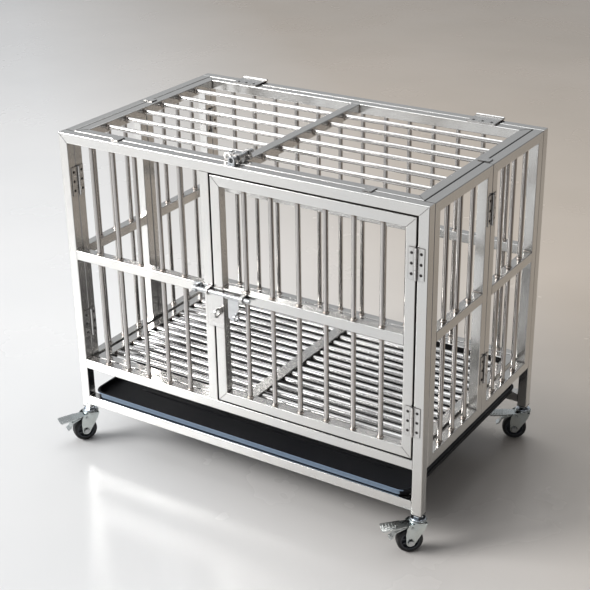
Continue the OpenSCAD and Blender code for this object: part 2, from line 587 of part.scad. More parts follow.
front_frame();
front_bars();
rear_frame();
rear_bars();
left_front_leaf();
left_rear_leaf();
right_front_leaf();
right_rear_leaf();
left_side_bars();
right_side_bars();
corner_hinge_leaves();
mid_hinge_leaves();
fold_hinge_pins();
cage_rivets();
door_hinge_post_leaves();
door_hinge_pins();
door_bolt_keeper();
lid_hinge_rail_leaves();
lid_hinge_pins();
lid_bolt_keeper();
floor_rest_lugs();
post_plugs();
caster_stems();
door_frame();
door_bars();
door_hinge_leaves();
door_rivets();
door_latch_plate();
door_bolt();
lid_frame();
lid_bars();
lid_hinge_straps();
lid_rivets();
lid_rest_tabs();
lid_latch_plate();
lid_bolt();
grate_frame();
grate_bars();
grate_strip();
tray();
fl() fork_c();  // fork_fl
fl() axle_c();  // axle_fl
fl() tyre_c();  // tyre_fl
fl() hub_c();  // hub_fl
fl() pedal_c();  // pedal_fl
fr() fork_c();  // fork_fr
fr() axle_c();  // axle_fr
fr() tyre_c();  // tyre_fr
fr() hub_c();  // hub_fr
fr() pedal_c();  // pedal_fr
rr() fork_c();  // fork_rr
rr() axle_c();  // axle_rr
rr() tyre_c();  // tyre_rr
rr() hub_c();  // hub_rr
rr() pedal_c();  // pedal_rr
rl() fork_c();  // fork_rl
rl() axle_c();  // axle_rl
rl() tyre_c();  // tyre_rl
rl() hub_c();  // hub_rl
rl() pedal_c();  // pedal_rl
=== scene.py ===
import math
import bpy
import bmesh
from mathutils import Matrix, Vector


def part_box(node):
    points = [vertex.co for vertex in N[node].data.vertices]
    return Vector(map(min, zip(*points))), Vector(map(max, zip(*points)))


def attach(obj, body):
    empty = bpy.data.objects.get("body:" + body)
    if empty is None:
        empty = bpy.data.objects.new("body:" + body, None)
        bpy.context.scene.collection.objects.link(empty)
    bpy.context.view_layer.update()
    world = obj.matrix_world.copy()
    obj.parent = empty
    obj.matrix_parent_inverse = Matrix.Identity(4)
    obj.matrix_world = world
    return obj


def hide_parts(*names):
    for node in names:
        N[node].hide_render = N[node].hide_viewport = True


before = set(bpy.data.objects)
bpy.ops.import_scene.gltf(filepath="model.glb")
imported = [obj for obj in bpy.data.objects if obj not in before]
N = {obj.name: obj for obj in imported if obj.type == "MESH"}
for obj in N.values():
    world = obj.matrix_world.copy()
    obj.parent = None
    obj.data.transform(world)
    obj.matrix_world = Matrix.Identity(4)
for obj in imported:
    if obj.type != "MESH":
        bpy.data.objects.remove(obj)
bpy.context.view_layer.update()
scene = bpy.context.scene

# The design's own corner: the front left post's outer bottom corner, in metres.
O0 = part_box("front_frame")[0]
OX, OY, OZ = O0.x, O0.y, 0.078


def P(x, y, z):
    """A point given in millimetres from the front left post's bottom corner."""
    return Vector((OX + x / 1000, OY + y / 1000, OZ + z / 1000))


# ---------------------------------------------------------------- camera

def make_camera():
    az, el, ro = math.radians(32.9624), math.radians(24.6821), math.radians(-0.9303)
    back = Vector((math.sin(az) * math.cos(el), -math.cos(az) * math.cos(el), math.sin(el)))
    right = (-back).cross(Vector((0, 0, 1))).normalized()
    up = right.cross(-back)
    r2 = right * math.cos(ro) + up * math.sin(ro)
    u2 = -right * math.sin(ro) + up * math.cos(ro)
    data = bpy.data.cameras.new("camera")
    data.lens, data.sensor_width = 80.567, 36.0
    data.clip_start, data.clip_end = 0.05, 60
    cam = bpy.data.objects.new("camera", data)
    scene.collection.objects.link(cam)
    m = Matrix.Identity(4)
    for k, v in enumerate((r2, u2, back)):
        m[0][k], m[1][k], m[2][k] = v
    loc = P(1704.53, -1800.94, 1367.67)
    m[0][3], m[1][3], m[2][3] = loc
    cam.matrix_world = m
    scene.camera = cam


make_camera()

# ---------------------------------------------------------------- mesh helpers

def new_object(name, verts, faces, mat=None, smooth=True, body=None):
    me = bpy.data.meshes.new(name)
    me.from_pydata([tuple(v) for v in verts], [], faces)
    me.validate()
    bm = bmesh.new()
    bm.from_mesh(me)
    bmesh.ops.recalc_face_normals(bm, faces=bm.faces)
    bm.to_mesh(me)
    bm.free()
    ob = bpy.data.objects.new(name, me)
    scene.collection.objects.link(ob)
    if smooth:
        for p in me.polygons:
            p.use_smooth = True
    if mat:
        me.materials.append(mat)
    if body:
        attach(ob, body)
    return ob


class Build:
    """Collects closed shells into one mesh."""

    def __init__(self):
        self.v, self.f = [], []

    def add(self, verts, faces):
        n = len(self.v)
        self.v += [Vector(p) for p in verts]
        self.f += [tuple(i + n for i in face) for face in faces]

    def lathe(self, profile, centre, axis, segs=32, wobble=None, closed=True):
        """profile: (radius, height) pairs; the shape turns about axis through centre."""
        a = Vector(axis).normalized()
        u = a.orthogonal().normalized()
        w = a.cross(u)
        verts, faces = [], []
        rows = []
        for j, (r, h) in enumerate(profile):
            if r <= 1e-9:
                rows.append([len(verts)])
                verts.append(centre + a * h)
                continue
            row = []
            for i in range(segs):
                t = 2 * math.pi * i / segs
                rr = r * (1 + (wobble(i, j) if wobble else 0))
                row.append(len(verts))
                verts.append(centre + a * h + (u * math.cos(t) + w * math.sin(t)) * rr)
            rows.append(row)
        pairs = list(zip(rows, rows[1:]))
        if closed and len(rows[0]) > 1 and len(rows[-1]) > 1:
            pairs.append((rows[-1], rows[0]))
        for a_, b_ in pairs:
            if len(a_) == 1 and len(b_) == 1:
                continue
            for i in range(segs):
                k = (i + 1) % segs
                if len(a_) == 1:
                    faces.append((a_[0], b_[i], b_[k]))
                elif len(b_) == 1:
                    faces.append((a_[i], b_[0], a_[k]))
                else:
                    faces.append((a_[i], b_[i], b_[k], a_[k]))
        self.add(verts, faces)

    def tube(self, points, radius, segs=8, flat=1.0, up=None):
        """A rod with round ends along points; radius may be a list."""
        n = len(points)
        verts, faces = [], []
        pts = [Vector(p) for p in points]
        up = Vector(up) if up is not None else None
        for i, p in enumerate(pts):
            d = (pts[min(i + 1, n - 1)] - pts[max(i - 1, 0)]).normalized()
            u = (up - d * up.dot(d)).normalized() if up is not None else d.orthogonal().normalized()
            w = d.cross(u)
            r = radius[i] if isinstance(radius, (list, tuple)) else radius
            for k in range(segs):
                t = 2 * math.pi * k / segs
                verts.append(p + (u * math.cos(t) * flat + w * math.sin(t)) * r)
        for i in range(n - 1):
            for k in range(segs):
                q = (k + 1) % segs
                faces.append((i * segs + k, (i + 1) * segs + k, (i + 1) * segs + q, i * segs + q))
        a, b = len(verts), len(verts) + 1
        r0 = radius[0] if isinstance(radius, (list, tuple)) else radius
        r1 = radius[-1] if isinstance(radius, (list, tuple)) else radius
        verts.append(pts[0] - (pts[1] - pts[0]).normalized() * r0 * 0.6)
        verts.append(pts[-1] + (pts[-1] - pts[-2]).normalized() * r1 * 0.6)
        for k in range(segs):
            q = (k + 1) % segs
            faces.append((a, k, q))
            faces.append((b, (n - 1) * segs + q, (n - 1) * segs + k))
        self.add(verts, faces)

    def make(self, name, mat, body, slot, smooth=True):
        return new_object(name, self.v, self.f, mat, smooth, body)


def jitter(*k):
    """A fixed number from -1 to 1 for a set of whole numbers."""
    s = math.sin(sum((i + 1) * 12.9898 * (v + 1.37) for i, v in enumerate(k))) * 43758.5453
    return 2 * (s - math.floor(s)) - 1


# ---------------------------------------------------------------- materials

class NT:
    """Short calls for a material's node tree."""

    def __init__(self, name):
        self.m = bpy.data.materials.new(name)
        self.m.use_nodes = True
        self.t = self.m.node_tree
        self.b = self.t.nodes["Principled BSDF"]
        self.coord = self.t.nodes.new("ShaderNodeTexCoord").outputs["Object"]

    def node(self, kind, **sets):
        n = self.t.nodes.new(kind)
        for k, v in sets.items():
            setattr(n, k, v)
        return n

    def link(self, a, b):
        self.t.links.new(a, b)

    def put(self, sock, v):
        if hasattr(v, "is_output"):
            self.link(v, sock)
        else:
            sock.default_value = v

    def math(self, op, a, b=0.5, c=0.0, clamp=False):
        n = self.node("ShaderNodeMath", operation=op, use_clamp=clamp)
        for s, v in zip(n.inputs, (a, b, c)):
            self.put(s, v)
        return n.outputs[0]

    def scaled(self, sx, sy, sz, src=None):
        n = self.node("ShaderNodeMapping")
        n.inputs["Scale"].default_value = (sx, sy, sz)
        self.link(src or self.coord, n.inputs["Vector"])
        return n.outputs[0]

    def noise(self, scale=10.0, detail=2.0, rough=0.5, vec=None, distort=0.0):
        n = self.node("ShaderNodeTexNoise")
        n.inputs["Scale"].default_value = scale
        n.inputs["Detail"].default_value = detail
        n.inputs["Roughness"].default_value = rough
        n.inputs["Distortion"].default_value = distort
        self.link(vec or self.coord, n.inputs["Vector"])
        return n.outputs["Fac"]

    def ramp(self, fac, lo, hi, a=0.0, b=1.0):
        n = self.node("ShaderNodeMapRange")
        n.inputs["From Min"].default_value = lo
        n.inputs["From Max"].default_value = hi
        n.inputs["To Min"].default_value = a
        n.inputs["To Max"].default_value = b
        self.put(n.inputs["Value"], fac)
        return n.outputs[0]

    def mix(self, fac, a, b):
        n = self.node("ShaderNodeMix", data_type="RGBA")
        self.put(n.inputs["Factor"], fac)
        for s, v in ((n.inputs[6], a), (n.inputs[7], b)):
            if hasattr(v, "is_output"):
                self.link(v, s)
            else:
                s.default_value = (*v, 1)
        return n.outputs[2]

    def fmix(self, fac, a, b):
        n = self.node("ShaderNodeMix", data_type="FLOAT")
        self.put(n.inputs["Factor"], fac)
        self.put(n.inputs[2], a)
        self.put(n.inputs[3], b)
        return n.outputs[0]

    def xyz(self):
        n = self.node("ShaderNodeSeparateXYZ")
        self.link(self.coord, n.inputs[0])
        return n.outputs

    def bump(self, height, strength, distance, normal=None):
        n = self.node("ShaderNodeBump")
        n.inputs["Strength"].default_value = strength
        n.inputs["Distance"].default_value = distance
        self.link(height, n.inputs["Height"])
        if normal:
            self.link(normal, n.inputs["Normal"])
        return n.outputs[0]


def painted_crevice_shade(nt, col, dark, reach=0.006, power=1.6):
    """col, darkened by ambient occlusion where another surface is close: painted shade and dirt along every joint."""
    ao = nt.node("ShaderNodeAmbientOcclusion", samples=6)
    ao.inputs["Distance"].default_value = reach
    f = nt.math("POWER", ao.outputs["AO"], power)
    return nt.mix(f, dark, col)


def near(nt, coord, levels, width):
    """1 close to any of the levels along one axis, falling to 0 at width."""
    best = None
    for lv in levels:
        d = nt.math("ABSOLUTE", nt.math("SUBTRACT", coord, lv))
        best = d if best is None else nt.math("MINIMUM", best, d)
    return nt.ramp(best, 0.0, width, 1.0, 0.0)


RAIL_Z = [OZ + z / 1000 for z in (17, 103, 347, 590)]


def steel(name, base, rough, grain="both", tint_axis=None, tint_levels=(), tint_w=0.009, wave=1.0, dirty=1.0):
    """Polished stainless: draw grain along the tube, faint waves, smudges, and a straw tint by the welds."""
    nt = NT(name)
    x, y, z = nt.xyz()
    gx = nt.noise(1.0, 3.0, 0.6, nt.scaled(14, 2200, 2200))
    gy = nt.noise(1.0, 3.0, 0.6, nt.scaled(2200, 14, 2200))
    gz = nt.noise(1.0, 3.0, 0.6, nt.scaled(2200, 2200, 14))
    if grain == "x":
        g = gx
    elif grain == "z":
        g = gz
    elif grain == "y":
        g = gy
    elif grain == "panel":  # rails along X at the rail heights, posts along Z elsewhere
        g = nt.fmix(nt.math("GREATER_THAN", near(nt, z, RAIL_Z, 0.0204), 0.5), gz, gx)
    elif grain == "leaf":
        g = nt.fmix(nt.math("GREATER_THAN", near(nt, z, RAIL_Z, 0.0204), 0.5), gz, gy)
    elif grain == "lid":
        ends = [OY + v / 1000 for v in (32, 458)]
        g = nt.fmix(nt.math("GREATER_THAN", near(nt, y, ends, 0.0204), 0.5), gy, gx)
    else:
        g = nt.fmix(0.5, gx, gz)
    smudge = nt.ramp(nt.noise(9.0, 4.0, 0.62, distort=0.6), 0.42, 0.68)
    fine = nt.noise(160.0, 3.0, 0.6)
    r = nt.math("ADD", rough, nt.math("MULTIPLY", smudge, 0.07 * dirty))
    r = nt.math("ADD", r, nt.math("MULTIPLY", nt.math("SUBTRACT", g, 0.5), 0.16))
    r = nt.math("ADD", r, nt.math("MULTIPLY", nt.math("SUBTRACT", fine, 0.5), 0.05), clamp=True)
    nt.link(r, nt.b.inputs["Roughness"])
    dark = tuple(c * 0.90 for c in base)
    warm = (base[0] * 0.97, base[1] * 0.94, base[2] * 0.90)
    col = nt.mix(nt.ramp(g, 0.25, 0.75), dark, base)
    col = nt.mix(nt.math("MULTIPLY", smudge, 0.30 * dirty), col, warm)
    if tint_axis is not None:
        d = near(nt, (x, y, z)[tint_axis], tint_levels, tint_w)
        d = nt.math("MULTIPLY", nt.math("POWER", d, 1.6), nt.ramp(nt.noise(240.0, 2.0), 0.3, 0.6, 0.35, 1.0))
        col = nt.mix(nt.math("MULTIPLY", d, 0.8, clamp=True), col, (0.30, 0.21, 0.15))
    # base colour with painted shade from ambient occlusion in the joints and crevices
    nt.link(painted_crevice_shade(nt, col, (0.10, 0.085, 0.08)), nt.b.inputs["Base Color"])
    nt.b.inputs["Metallic"].default_value = 1.0
    n1 = nt.bump(nt.noise(22.0, 2.0, 0.5), 0.35 * wave, 0.0006)
    n2 = nt.bump(g, 0.22, 0.00005, n1)
    nt.link(n2, nt.b.inputs["Normal"])
    return nt.m


def bar_levels(*zs):
    return [OZ + v / 1000 for v in zs]


FRAME = (0.74, 0.735, 0.72)
# The bars are the frame's stainless made darker: painted shade for the dark reflections along the round bars.
BAR_SHADED = (0.53, 0.51, 0.495)
M = {}
M["panel"] = steel("steel_panel_tube", FRAME, 0.17, "panel")
M["leaf"] = steel("steel_leaf_tube", FRAME, 0.16, "leaf")
M["lid"] = steel("steel_lid_tube", FRAME, 0.14, "lid")
M["bar"] = steel("steel_bar", BAR_SHADED, 0.13, "z", 2, bar_levels(113, 337, 357, 580), 0.008, wave=0.5)
M["door_bar"] = steel("steel_door_bar", BAR_SHADED, 0.13, "z", 2, bar_levels(136, 337, 357, 557), 0.008, wave=0.5)
M["lid_bar"] = steel("steel_lid_bar", (0.68, 0.665, 0.65), 0.13, "x", 0, [OX + v / 1000 for v in (42, 390, 410, 758)], 0.008, wave=0.3)
# The floor bars are the frame's stainless made darker: painted shade for the grate lying inside the cage.
M["grate"] = steel("steel_floor_bar_shaded", (0.61, 0.605, 0.60), 0.15, "x", 0, [OX + v / 1000 for v in (47.5, 752.5)], 0.007, wave=0.25)
M["strip"] = steel("steel_strip", FRAME, 0.2, "y")
M["plate"] = steel("steel_hinge_plate", (0.70, 0.695, 0.685), 0.24, "z", wave=0.4)


def zinc(name, base, rough, patch=0.5, blue=0.0):
    """Bright zinc plate on pressed steel: faint spangle, a bluish cast in places."""
    nt = NT(name)
    v = nt.node("ShaderNodeTexVoronoi")
    v.inputs["Scale"].default_value = 420.0
    nt.link(nt.coord, v.inputs["Vector"])
    cells = nt.ramp(nt.math("FRACT", nt.math("MULTIPLY", v.outputs["Distance"], 7.3)), 0, 1, -1, 1)
    cloud = nt.noise(55.0, 3.0, 0.6)
    col = nt.mix(nt.ramp(cloud, 0.35, 0.7), base, tuple(c * 0.86 for c in base))
    col = nt.mix(nt.ramp(nt.noise(28.0, 2.0), 0.5, 0.75, 0, 0.55), col, (base[0] * 0.88, base[1] * 0.97, base[2] * (1.0 + blue)))
    # painted shade from ambient occlusion where the zinc parts meet other surfaces
    nt.link(painted_crevice_shade(nt, col, (0.05, 0.055, 0.06), 0.004), nt.b.inputs["Base Color"])
    nt.b.inputs["Metallic"].default_value = 1.0
    r = nt.math("ADD", nt.math("MULTIPLY", cells, 0.025 * patch), rough)
    r = nt.math("ADD", r, nt.math("MULTIPLY", nt.math("SUBTRACT", cloud, 0.5), 0.22), clamp=True)
    nt.link(r, nt.b.inputs["Roughness"])
    n1 = nt.bump(nt.noise(120.0, 3.0, 0.6), 0.3, 0.0002)
    nt.link(n1, nt.b.inputs["Normal"])
    return nt.m


M["zinc"] = zinc("zinc_plate", (0.66, 0.70, 0.68), 0.24, blue=0.08)
M["bolt"] = zinc("zinc_bolt", (0.60, 0.61, 0.62), 0.22)
M["race"] = zinc("zinc_race", (0.80, 0.85, 0.90), 0.13, blue=0.1)
M["pedal"] = zinc("zinc_pedal", (0.60, 0.63, 0.63), 0.27)
M["rivet"] = zinc("rivet_steel", (0.055, 0.05, 0.05), 0.42)
M["axle"] = zinc("axle_steel", (0.55, 0.56, 0.57), 0.28)


def weld(name):
    nt = NT(name)
    a = nt.noise(650.0, 3.0, 0.6)
    b = nt.noise(90.0, 2.0, 0.5)
    col = nt.mix(nt.ramp(a, 0.35, 0.65), (0.46, 0.40, 0.35), (0.66, 0.62, 0.58))
    col = nt.mix(nt.ramp(b, 0.45, 0.7, 0, 0.7), col, (0.22, 0.17, 0.15))
    nt.link(col, nt.b.inputs["Base Color"])
    nt.b.inputs["Metallic"].default_value = 1.0
    nt.link(nt.ramp(a, 0.3, 0.7, 0.28, 0.5), nt.b.inputs["Roughness"])
    nt.link(nt.bump(a, 0.5, 0.0002), nt.b.inputs["Normal"])
    return nt.m


M["weld"] = weld("weld_bead")
M["weld_dark"] = zinc("dressed_seam", (0.20, 0.185, 0.175), 0.4)


def plastic(name, base, rough, grain=900.0, bump=0.25, coat=0.0, scuff=(0.1, 0.1, 0.11), scuff_amount=0.35, spec=0.5):
    nt = NT(name)
    g = nt.noise(grain, 2.0, 0.6)
    s = nt.ramp(nt.noise(14.0, 5.0, 0.7, distort=1.2), 0.52, 0.75, 0, scuff_amount)
    nt.link(nt.mix(s, base, scuff), nt.b.inputs["Base Color"])
    r = nt.math("ADD", rough, nt.math("MULTIPLY", s, 0.35))
    r = nt.math("ADD", r, nt.math("MULTIPLY", nt.math("SUBTRACT", g, 0.5), 0.12), clamp=True)
    nt.link(r, nt.b.inputs["Roughness"])
    nt.b.inputs["Specular IOR Level"].default_value = spec
    nt.b.inputs["Coat Weight"].default_value = coat
    nt.b.inputs["Coat Roughness"].default_value = 0.12
    n1 = nt.bump(nt.noise(7.0, 2.0), 0.25, 0.0012)
    nt.link(nt.bump(g, bump, 0.00012, n1), nt.b.inputs["Normal"])
    return nt.m




def tray_plastic():
    """Near-black pan with a pale steel-blue front lip, lightly scuffed."""
    nt = NT("tray_plastic")
    x, y, z = nt.xyz()
    g = nt.noise(700.0, 2.0, 0.6)
    s = nt.ramp(nt.noise(14.0, 5.0, 0.7, distort=1.2), 0.55, 0.8, 0, 0.5)
    body = nt.mix(s, (0.003, 0.0035, 0.006), (0.009, 0.010, 0.015))
    lip = nt.mix(nt.ramp(nt.noise(9.0, 3.0, 0.6, nt.scaled(0.5, 1, 3)), 0.3, 0.7), (0.17, 0.235, 0.33), (0.23, 0.30, 0.39))
    front = nt.math("MULTIPLY", nt.math("LESS_THAN", y, OY + 0.0066), nt.math("LESS_THAN", z, OZ + 0.0411))
    nt.link(nt.mix(front, body, lip), nt.b.inputs["Base Color"])
    r = nt.math("ADD", 0.42, nt.math("MULTIPLY", s, 0.2))
    r = nt.math("ADD", r, nt.math("MULTIPLY", nt.math("SUBTRACT", g, 0.5), 0.1), clamp=True)
    nt.link(r, nt.b.inputs["Roughness"])
    nt.b.inputs["Specular IOR Level"].default_value = 0.18
    n1 = nt.bump(nt.noise(7.0, 2.0), 0.2, 0.001)
    nt.link(nt.bump(g, 0.15, 0.0001, n1), nt.b.inputs["Normal"])
    return nt.m


M["tray"] = tray_plastic()
M["plug"] = plastic("plug_plastic", (0.02, 0.02, 0.022), 0.42)
M["tyre"] = plastic("tyre_rubber", (0.012, 0.012, 0.014), 0.46, 1100.0, 0.35, scuff=(0.09, 0.085, 0.08), scuff_amount=0.6)
M["hub"] = plastic("hub_plastic", (0.055, 0.062, 0.075), 0.38, 900.0, 0.2, scuff=(0.12, 0.12, 0.13))

LOOK = {
    "front_frame": "panel", "rear_frame": "panel", "door_frame": "panel",
    "left_front_leaf": "leaf", "left_rear_leaf": "leaf", "right_front_leaf": "leaf", "right_rear_leaf": "leaf",
    "lid_frame": "lid", "grate_frame": "lid", "grate_bars": "grate", "grate_strip": "strip",
    "front_bars": "bar", "rear_bars": "bar", "left_side_bars": "bar", "right_side_bars": "bar",
    "door_bars": "door_bar", "lid_bars": "lid_bar", "floor_rest_lugs": "plate",
    "post_plugs": "plug", "caster_stems": "race", "tray": "tray",
    "door_bolt": "bolt", "lid_bolt": "bolt", "door_bolt_keeper": "bolt", "lid_bolt_keeper": "bolt",
    "door_latch_plate": "plate", "lid_latch_plate": "plate", "lid_rest_tabs": "plate",
}


def look_of(node):
    if node in LOOK:
        return LOOK[node]
    if "rivets" in node:
        return "rivet"
    if "pins" in node:
        return "bolt"
    if "hinge" in node:
        return "plate"
    for key, look in (("fork", "zinc"), ("axle", "axle"), ("tyre", "tyre"), ("hub", "hub"), ("pedal", "pedal")):
        if node.startswith(key):
            return look
    raise RuntimeError(node)


for name, ob in N.items():
    ob.data.materials.clear()
    ob.data.materials.append(M[look_of(name)])

# ---------------------------------------------------------------- welds

def bead(b, centre, axis, r, key, size=1.7):
    """Fillet weld round a bar's end. axis points from the rail along the bar."""
    def wob(i, j):
        return (0.030 * math.sin(i * 2.1 + key) + 0.02 * jitter(i, key)) if j in (0, 1, 2) else 0
    s = size / 1000
    prof = [(r + s, 0.00003), (r + s * 0.78, s * 0.34), (r + s * 0.42, s * 0.75), (r + s * 0.10, s * 1.15), (r - 0.0001, s * 1.25), (r - 0.0001, 0.00003)]
    b.lathe(prof, centre, axis, 20, wob)


def bar_beads():
    r = 0.00475
    cage, door, lid = Build(), Build(), Build()
    k = 0
    Z = (113, 337, 357, 580)
    spots = []
    for i in range(1, 6):
        spots.append((20 + i * 314 / 6, 10))
    for i in range(1, 14):
        spots.append((20 + i * 760 / 14, 480))
    for x in (10, 790):
        for y0 in (20.5, 245.5):
            for i in range(3):
                spots.append((x, y0 + 112 + 3 + (i - 1) * 50))
    for x, y in spots:
        for z, d in zip(Z, (1, -1, 1, -1)):
            k += 1
            bead(cage, P(x, y, z), (0, 0, d), r, k)
    for i in range(6):
        x = 567 + (i - 2.5) * 56.8
        for z, d in zip((136, 337, 357, 557), (1, -1, 1, -1)):
            k += 1
            bead(door, P(x, 10, z), (0, 0, d), r, k)
    for i in range(1, 7):
        y = 42 + i * 58
        for x, d in zip((42, 390, 410, 758), (1, -1, 1, -1)):
            k += 1
            bead(lid, P(x, y, 590), (d, 0, 0), r, k)
    cage.make("weld_beads_cage_bars", M["weld"], "cage", "bar_steel")
    door.make("weld_beads_door_bars", M["weld"], "door", "bar_steel")
    lid.make("weld_beads_lid_bars", M["weld"], "lid", "bar_steel")


def seam(b, p, q, r=0.0009, key=0, flat=0.8):
    """A short rippled weld bead from p to q."""
    p, q = Vector(p), Vector(q)
    n = max(6, int((q - p).length / 0.0016))
    pts, rad = [], []
    for i in range(n + 1):
        t = i / n
        pts.append(p.lerp(q, t))
        rad.append(r * (1 + 0.16 * math.sin(i * 1.9 + key) + 0.08 * jitter(i, key)) * (0.6 if i in (0, n) else 1))
    b.tube(pts, rad, 8, flat)


def mitres():
    """Dressed weld lines across the mitred corners, on both faces of the front, rear and door frames and on the top
    face of the lid frame.
    """
    cage, door, lid = Build(), Build(), Build()
    r = 0.00042
    for y in (-0.05, 20.05):
        for x, sx in ((0, 1), (800, -1)):
            seam(cage, P(x + sx * 1.5, y, 598.5), P(x + sx * 19.5, y, 580.5), r, 1 + x)
        for x, sx in ((357, 1), (777, -1)):
            for z, sz in ((116, 1), (577, -1)):
                seam(door, P(x + sx * 1.5, y, z + sz * 1.5), P(x + sx * 19.5, y, z + sz * 19.5), r, x + z)
    for y in (469.95, 490.05):
        for x, sx in ((0, 1), (800, -1)):
            seam(cage, P(x + sx * 1.5, y, 598.5), P(x + sx * 19.5, y, 580.5), r, 2 + x)
    lo_, hi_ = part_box("lid_frame")
    for x, sx in ((lo_.x, 1), (hi_.x, -1)):
        for y, sy in ((lo_.y, 1), (hi_.y, -1)):
            a, b = Vector((x + sx * 0.0015, y + sy * 0.0015, hi_.z + 0.00005)), Vector((x + sx * 0.0195, y + sy * 0.0195, hi_.z + 0.00005))
            seam(lid, a, b, r, int(x * 100 + y * 10))
    cage.make("mitre_lines_cage", M["weld_dark"], "cage", "frame_steel")
    door.make("mitre_lines_door", M["weld_dark"], "door", "frame_steel")
    lid.make("mitre_lines_lid", M["weld_dark"], "lid", "frame_steel")


def tube_welds():
    cage, door, lid, grate = Build(), Build(), Build(), Build()
    k = 0
    # rails against the posts, front and rear panels
    for y, rails in ((10, ((103, 20, 780), (17, 20, 780), (347, 20, 334))), (480, ((103, 20, 780), (17, 20, 780), (347, 20, 780)))):
        for z, xa, xb in rails:
            for x in (xa, xb):
                for dz in (-10, 10):
                    k += 1
                    seam(cage, P(x, y - 8.2, z + dz), P(x, y + 8.2, z + dz), key=k)
    for dz, z in ((1, 113), (-1, 580)):
        for x in (334, 354):
            k += 1
            seam(cage, P(x, 1.8, z), P(x, 18.2, z), key=k)
    for x in (10, 790):
        for y0 in (20.5, 245.5):
            for y in (y0 + 20, y0 + 204):
                for dz in (-10, 10):
                    k += 1
                    seam(cage, P(x - 8.2, y, 347 + dz), P(x + 8.2, y, 347 + dz), key=k)
    for x in (377, 757):
        for dz in (-10, 10):
            k += 1
            seam(door, P(x, 1.8, 347 + dz), P(x, 18.2, 347 + dz), key=k)
    for y in (42, 448):
        for dx in (-10, 10):
            k += 1
            seam(lid, P(400 + dx, y, 581.8), P(400 + dx, y, 598.2), key=k)
    cage.make("weld_seams_cage", M["weld"], "cage", "frame_steel")
    door.make("weld_seams_door", M["weld"], "door", "frame_steel")
    lid.make("weld_seams_lid", M["weld"], "lid", "frame_steel")


bar_beads()
tube_welds()
mitres()

# ---------------------------------------------------------------- tray

def rounded_rect(cx, cy, hx, hy, r, z, seg=7):
    pts = []
    for k, (sx, sy) in enumerate(((1, 1), (-1, 1), (-1, -1), (1, -1))):
        for i in range(seg + 1):
            t = math.pi / 2 * (k + i / seg)
            pts.append(P(cx + sx * (hx - r) + r * math.cos(t), cy + sy * (hy - r) + r * math.sin(t), z))
    return pts


def tray_pan():
    """The pan with a rolled rim, drawn corners and shallow stiffening ribs in its floor."""
    z0, w, d, h = 27.3, 372.0, 241.0, 14.5
    prof = [(5.0, 0.05), (3.8, 0.5), (3.2, 1.5), (3.0, 2.8), (3.0, h - 4.6), (2.4, h - 4.1), (0.8, h - 3.8), (0.2, h - 3.2), (0.02, h - 2.2),
            (0.15, h - 0.9), (0.7, h - 0.25), (1.6, h - 0.02), (3.2, h - 0.02), (4.3, h - 0.3), (5.0, h - 1.1), (5.3, h - 2.4), (5.5, 6.2), (6.1, 4.3), (7.6, 2.9), (9.6, 2.42)]
    b = Build()
    loops = [rounded_rect(400, 3 + d, w - i, d - i, max(24 - i * 0.8, 12), z0 + z) for i, z in prof]
    n = len(loops[0])
    verts = [v for lp in loops for v in lp]
    faces = []
    for k in range(len(loops) - 1):
        for i in range(n):
            j = (i + 1) % n
            faces.append((k * n + i, k * n + j, (k + 1) * n + j, (k + 1) * n + i))
    faces.append(tuple(reversed(range(n))))
    faces.append(tuple((len(loops) - 1) * n + i for i in range(n)))
    b.add(verts, faces)
    ob = b.make("tray_pan", M["tray"], "tray", "tray_plastic")
    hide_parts("tray")
    r = Build()
    for i in range(5):
        y = 3 + d + (i - 2) * 84
        pts = [P(400 + t * 300, y, z0 + 2.2) for t in [k / 20 for k in range(-20, 21)]]
        rad = [0.0034 * (1 if abs(k - 20) < 19 else 0.72 if abs(k - 20) < 20 else 0.3) for k in range(41)]
        verts, fcs = [], []
        for p, q in zip(pts, rad):
            for k in range(7):
                a = math.pi * k / 6
                verts.append(p + Vector((0, math.cos(a) * q * 1.5, math.sin(a) * q * 0.42)))
        for m in range(40):
            for k in range(6):
                fcs.append((m * 7 + k, (m + 1) * 7 + k, (m + 1) * 7 + k + 1, m * 7 + k + 1))
            fcs.append((m * 7 + 6, (m + 1) * 7 + 6, (m + 1) * 7, m * 7))
        fcs.append(tuple(range(7)))
        fcs.append(tuple(40 * 7 + k for k in reversed(range(7))))
        r.add(verts, fcs)
    r.make("tray_ribs", M["tray"], "tray", "tray_plastic")


tray_pan()

# ---------------------------------------------------------------- casters

CASTERS = {"fl": (10, 10, 238), "fr": (790, 10, 222), "rr": (790, 480, 205), "rl": (10, 480, 230)}
TRAIL = 16.0


